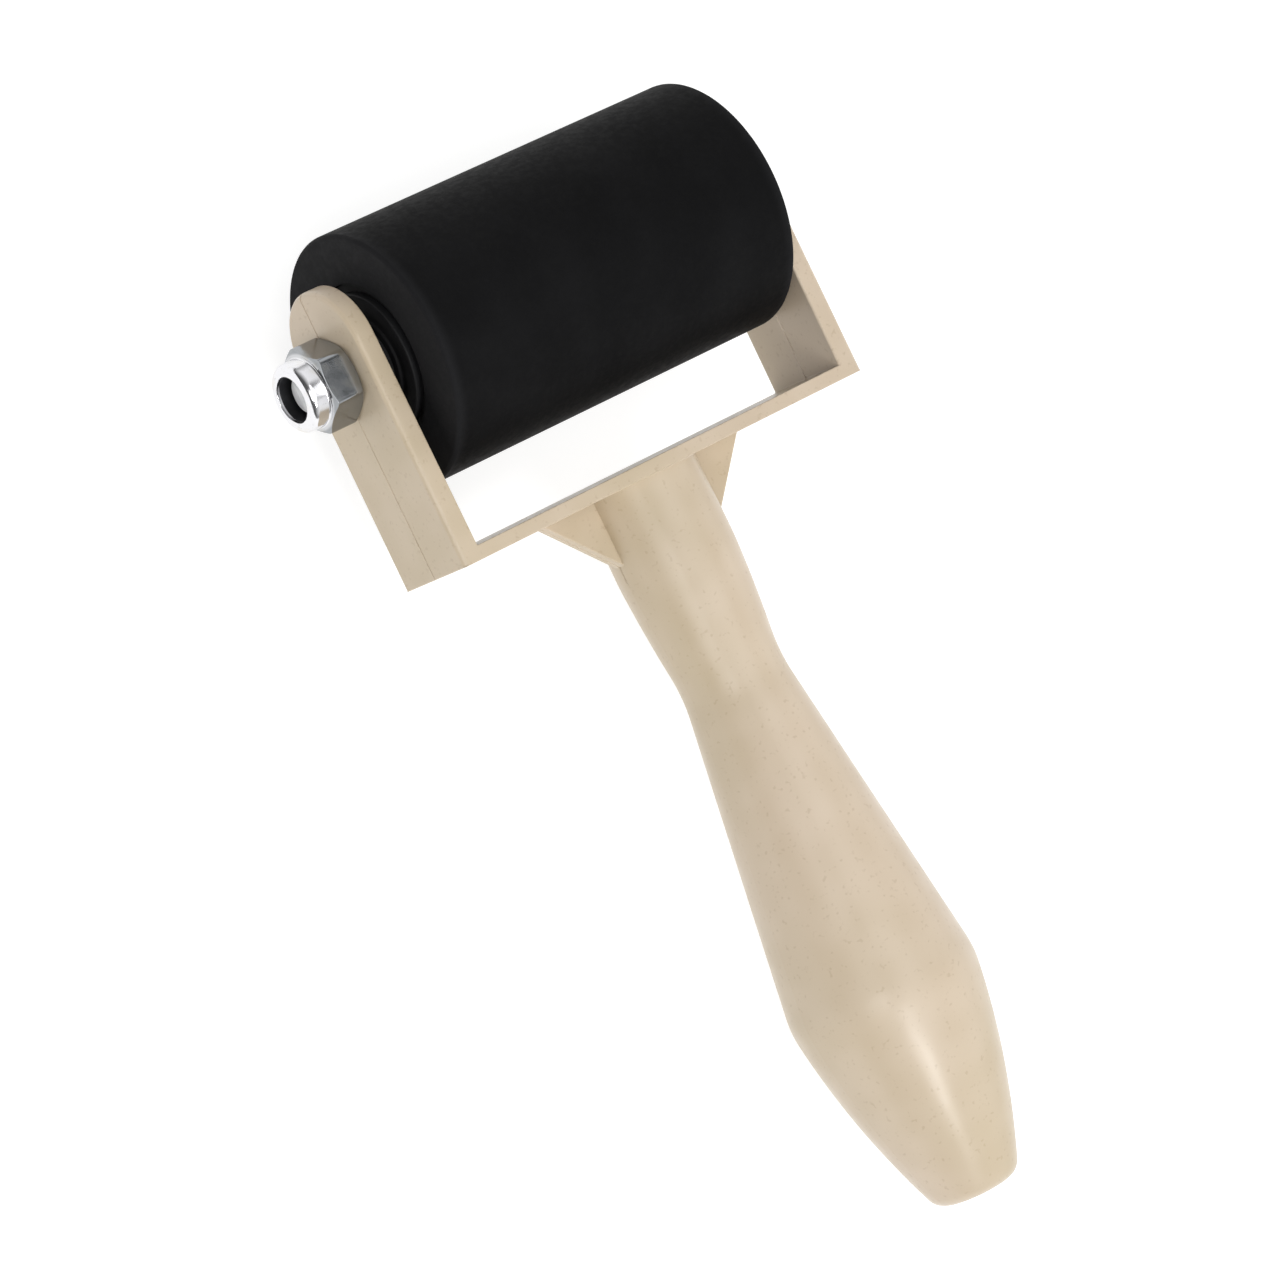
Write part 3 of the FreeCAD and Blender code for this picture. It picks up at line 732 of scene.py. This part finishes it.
def black_rubber():
    """Matt black rubber: ground rings, a dusty bloom in patches, and ends painted slightly greyer,
    painted light on the end faces.
    """
    finish, shader, place = start_finish("black_rubber", IOR=1.4, Specular_IOR_Level=0.1)
    clouds = noise(finish, place, 11 * MM, detail=5.0)
    bloom = noise(finish, place, 1.1 * MM, detail=6.0, roughness=0.7)
    base = blend(finish, spread(finish, clouds, 0, 1), paint(12, 12, 13), paint(18, 18, 19))
    dusty = blend(finish, spread(finish, bloom, 0, 0.3, 0.55, 0.8), base, paint(32, 32, 33))
    # Painted light: towards both ends the rubber is painted greyer, standing in for the light on the end
    # faces and the tread beside them.
    along = add(finish, "SeparateXYZ", {"Vector": place}).outputs["X"]
    from_middle = add(finish, "Math", {0: along}, operation="ABSOLUTE").outputs[0]
    painted_end_light = spread(finish, from_middle, 0, 0.45, roller_high.x * 0.93, roller_high.x)
    colour = blend(finish, painted_end_light, dusty, paint(40, 40, 42))
    rings = noise(finish, place, 0.16 * MM, detail=3.0, stretch=(1, 60, 60))
    pores = noise(finish, place, 0.3 * MM, detail=4.0)
    feed(
        finish, shader, Base_Color=colour,
        Roughness=spread(finish, bloom, 0.58, 0.74),
        Normal=relief(finish, [(rings, 0.012 * MM), (pores, 0.01 * MM)]),
    )
    return finish


sleeve_section = sleeve_outline()
sleeve = turned("black_rubber_sleeve", lambda angle: sleeve_section, SLEEVE_STEPS)
sleeve.data.materials.append(black_rubber())
smooth_finish(sleeve)
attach(sleeve, "roller")
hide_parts("rubber_sleeve")

# ------------------------------------------------------------------------------------
# Roller core. A stiff dark plastic tube, extruded and cut to length; the rubber is bonded
# to it and stands a little past its ends.
# ------------------------------------------------------------------------------------
core_low, core_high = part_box("roller_core")
CORE_BORE = 8.4 * MM
CORE_EDGE = 0.15 * MM
CORE_STEPS = 128

core_section = ring_outline(core_low.x, core_high.x, CORE_BORE, CORE_RADIUS, CORE_EDGE)
core = turned("core_tube", lambda angle: core_section, CORE_STEPS)
core.data.materials.append(plain_plastic(
    "core_plastic", tint=paint(21, 21, 22), worn=paint(32, 32, 32), rough_low=0.62, rough_high=0.75,
))
smooth_finish(core)
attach(core, "roller")
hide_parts("roller_core")

# ------------------------------------------------------------------------------------
# Bearing plugs. Dark acetal, turned; each is pressed into an end of the core up to its
# flange, and its bore runs on the axle bolt.
# ------------------------------------------------------------------------------------
PLUG_BORE = 3.225 * MM
PLUG_EDGE = 0.25 * MM
FLANGE_HUB = 6.6 * MM
FLANGE_DISH = 0.25 * MM
DISH_FLOOR_START = 0.3 * MM
DISH_FLOOR_END = 1.2 * MM
DISH_END = 1.6 * MM


def plug_outline(inner_end, seat, face, flange_radius):
    """Shank, flange and shallow dished face, drawn for the plug at the right end."""
    return (
        arc(inner_end + PLUG_EDGE, PLUG_BORE + PLUG_EDGE, PLUG_EDGE, 270, 180, CORNER_BENDS)
        + arc(inner_end + PLUG_EDGE, CORE_BORE - PLUG_EDGE, PLUG_EDGE, 180, 90, CORNER_BENDS)
        + [(seat, CORE_BORE), (seat, flange_radius - PLUG_EDGE / 2)]
        + [(seat + PLUG_EDGE / 2, flange_radius)]
        + arc(face - PLUG_EDGE, flange_radius - PLUG_EDGE, PLUG_EDGE, 90, 0, CORNER_BENDS)
        + [(face, FLANGE_HUB + DISH_END), (face - FLANGE_DISH, FLANGE_HUB + DISH_FLOOR_END)]
        + [(face - FLANGE_DISH, FLANGE_HUB + DISH_FLOOR_START), (face, FLANGE_HUB)]
        + arc(face - PLUG_EDGE, PLUG_BORE + PLUG_EDGE, PLUG_EDGE, 0, -90, CORNER_BENDS)
    )


acetal = plain_plastic(
    "dark_acetal", tint=paint(18, 18, 20), worn=paint(28, 28, 30), rough_low=0.6, rough_high=0.72,
)
for side in ("left", "right"):
    node = "bearing_plug_" + side
    low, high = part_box(node)
    reach = high.x if side == "right" else -low.x
    inner = low.x if side == "right" else -high.x
    section = plug_outline(inner, core_high.x, reach, high.z)
    if side == "left":
        section = [(-along, radius) for along, radius in section]
    plug = turned("acetal_plug_" + side, lambda angle, section=section: section, RING_STEPS)
    plug.data.materials.append(acetal)
    smooth_finish(plug)
    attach(plug, "roller")
    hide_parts(node)

# ------------------------------------------------------------------------------------
# Floor. A wide pale light table that the roller stands on. It glows evenly, so shadows
# stay faint.
# ------------------------------------------------------------------------------------
FLOOR_HALF = 4.0


def pale_table():
    """Fibrous pale sheet, lit evenly from underneath."""
    finish, shader, place = start_finish(
        "pale_table", Roughness=0.9, Specular_IOR_Level=0.1, Emission_Color=(1, 1, 1, 1),
        Emission_Strength=0.8,
    )
    fibre = noise(finish, place, 1.5 * MM, detail=4.0)
    tone = noise(finish, place, 300 * MM, detail=2.0)
    feed(
        finish, shader,
        Base_Color=blend(finish, spread(finish, tone, 0, 1), paint(166, 166, 165), paint(170, 170, 169)),
        Normal=relief(finish, [(fibre, 0.01 * MM)]),
    )
    return finish


sheet = bmesh.new()
under_roller = Matrix.Translation((0, 0, roller_low.z))
bmesh.ops.create_grid(sheet, x_segments=8, y_segments=8, size=FLOOR_HALF, matrix=under_roller)
floor = as_piece("studio_floor", sheet)
floor.data.materials.append(pale_table())

# ------------------------------------------------------------------------------------
# Light. Two broad soft lamps, one overhead and one lower on the nut's side, and two small
# ones that draw the gleams along the grip. The surround is dimmer on the nut's side, with
# a dark flag for the bright nut to mirror.
# ------------------------------------------------------------------------------------
AIM = Vector((-0.01088, -0.05006, 0.0))
FLAG_AT = Vector((0.52, -0.05, 0.85))
SURROUND_STRENGTH = 1.2


def soft_lamp(name, direction, distance, size, length, power):
    """An oval lamp aimed at the brayer; its length lies as near as it can along the grip."""
    lamp = bpy.data.lights.new(name, "AREA")
    lamp.shape = "ELLIPSE"
    lamp.size = size
    lamp.size_y = length
    lamp.energy = power
    holder = bpy.data.objects.new(name, lamp)
    away = Vector(direction).normalized()
    across = Vector((0, 1, 0)).cross(away).normalized()
    turn = Matrix((across, away.cross(across), away)).transposed().to_4x4()
    holder.matrix_world = Matrix.Translation(AIM + away * distance) @ turn
    holder.visible_camera = False
    bpy.context.scene.collection.objects.link(holder)


soft_lamp("top_lamp", (0.05, -0.1, 1.0), distance=1.3, size=1.2, length=1.2, power=4.8)
soft_lamp("key_lamp", (-0.68, -0.17, 0.71), distance=1.3, size=0.7, length=0.7, power=3.6)
soft_lamp("glint_lamp", (-0.24, -0.58, 0.78), distance=0.8, size=0.2, length=0.26, power=2.0)
soft_lamp("ridge_lamp", (-0.55, -0.06, 0.84), distance=0.8, size=0.07, length=0.2, power=0.3)

surround = bpy.data.worlds.new("studio_surround")
surround.use_nodes = True
bpy.context.scene.world = surround
sky = surround.node_tree
background = sky.nodes["Background"]
background.inputs["Strength"].default_value = SURROUND_STRENGTH
towards = add(surround, "TexCoord").outputs["Generated"]
way = add(surround, "SeparateXYZ", {"Vector": towards})
horizon = add(surround, "MapRange", {
    "Value": way.outputs["Z"], "From Min": 0.04, "From Max": 0.3, "To Min": 0.35, "To Max": 1.0,
}).outputs[0]
sideways = add(surround, "MapRange", {
    "Value": way.outputs["X"], "From Min": -0.6, "From Max": 0.6, "To Min": 0.09, "To Max": 1.0,
}).outputs[0]
facing_flag = add(surround, "VectorMath", {0: towards, 1: FLAG_AT}, operation="DOT_PRODUCT")
unshaded = add(surround, "MapRange", {
    "Value": facing_flag.outputs["Value"], "From Min": 0.97, "From Max": 0.86,
    "To Min": 0.12, "To Max": 1.0,
}).outputs[0]
across = add(surround, "Math", {0: horizon, 1: sideways}, operation="MULTIPLY").outputs[0]
brightness = add(surround, "Math", {0: across, 1: unshaded}, operation="MULTIPLY").outputs[0]
sky.links.new(brightness, background.inputs["Color"])

# ------------------------------------------------------------------------------------
# Camera. It looks down over the nut's side of the brayer, turned so that the grip runs
# down and to the right.
# ------------------------------------------------------------------------------------
CAMERA_AT = Vector((-0.3901, -0.0120, 0.6196))
CAMERA_ROLL = math.radians(-25.65)
CAMERA_LENS = 148.8

towards_camera = (CAMERA_AT - AIM).normalized()
level = Vector((0, 1, 0)).cross(towards_camera).normalized()
upright = towards_camera.cross(level)
right = level * math.cos(CAMERA_ROLL) + upright * math.sin(CAMERA_ROLL)
up = upright * math.cos(CAMERA_ROLL) - level * math.sin(CAMERA_ROLL)
lens = bpy.data.cameras.new("camera")
lens.sensor_width = 36.0
lens.lens = CAMERA_LENS
camera = bpy.data.objects.new("camera", lens)
facing = Matrix((right, up, towards_camera)).transposed().to_4x4()
camera.matrix_world = Matrix.Translation(CAMERA_AT) @ facing
bpy.context.scene.collection.objects.link(camera)
bpy.context.scene.camera = camera
bpy.context.scene.view_settings.view_transform = "Standard"
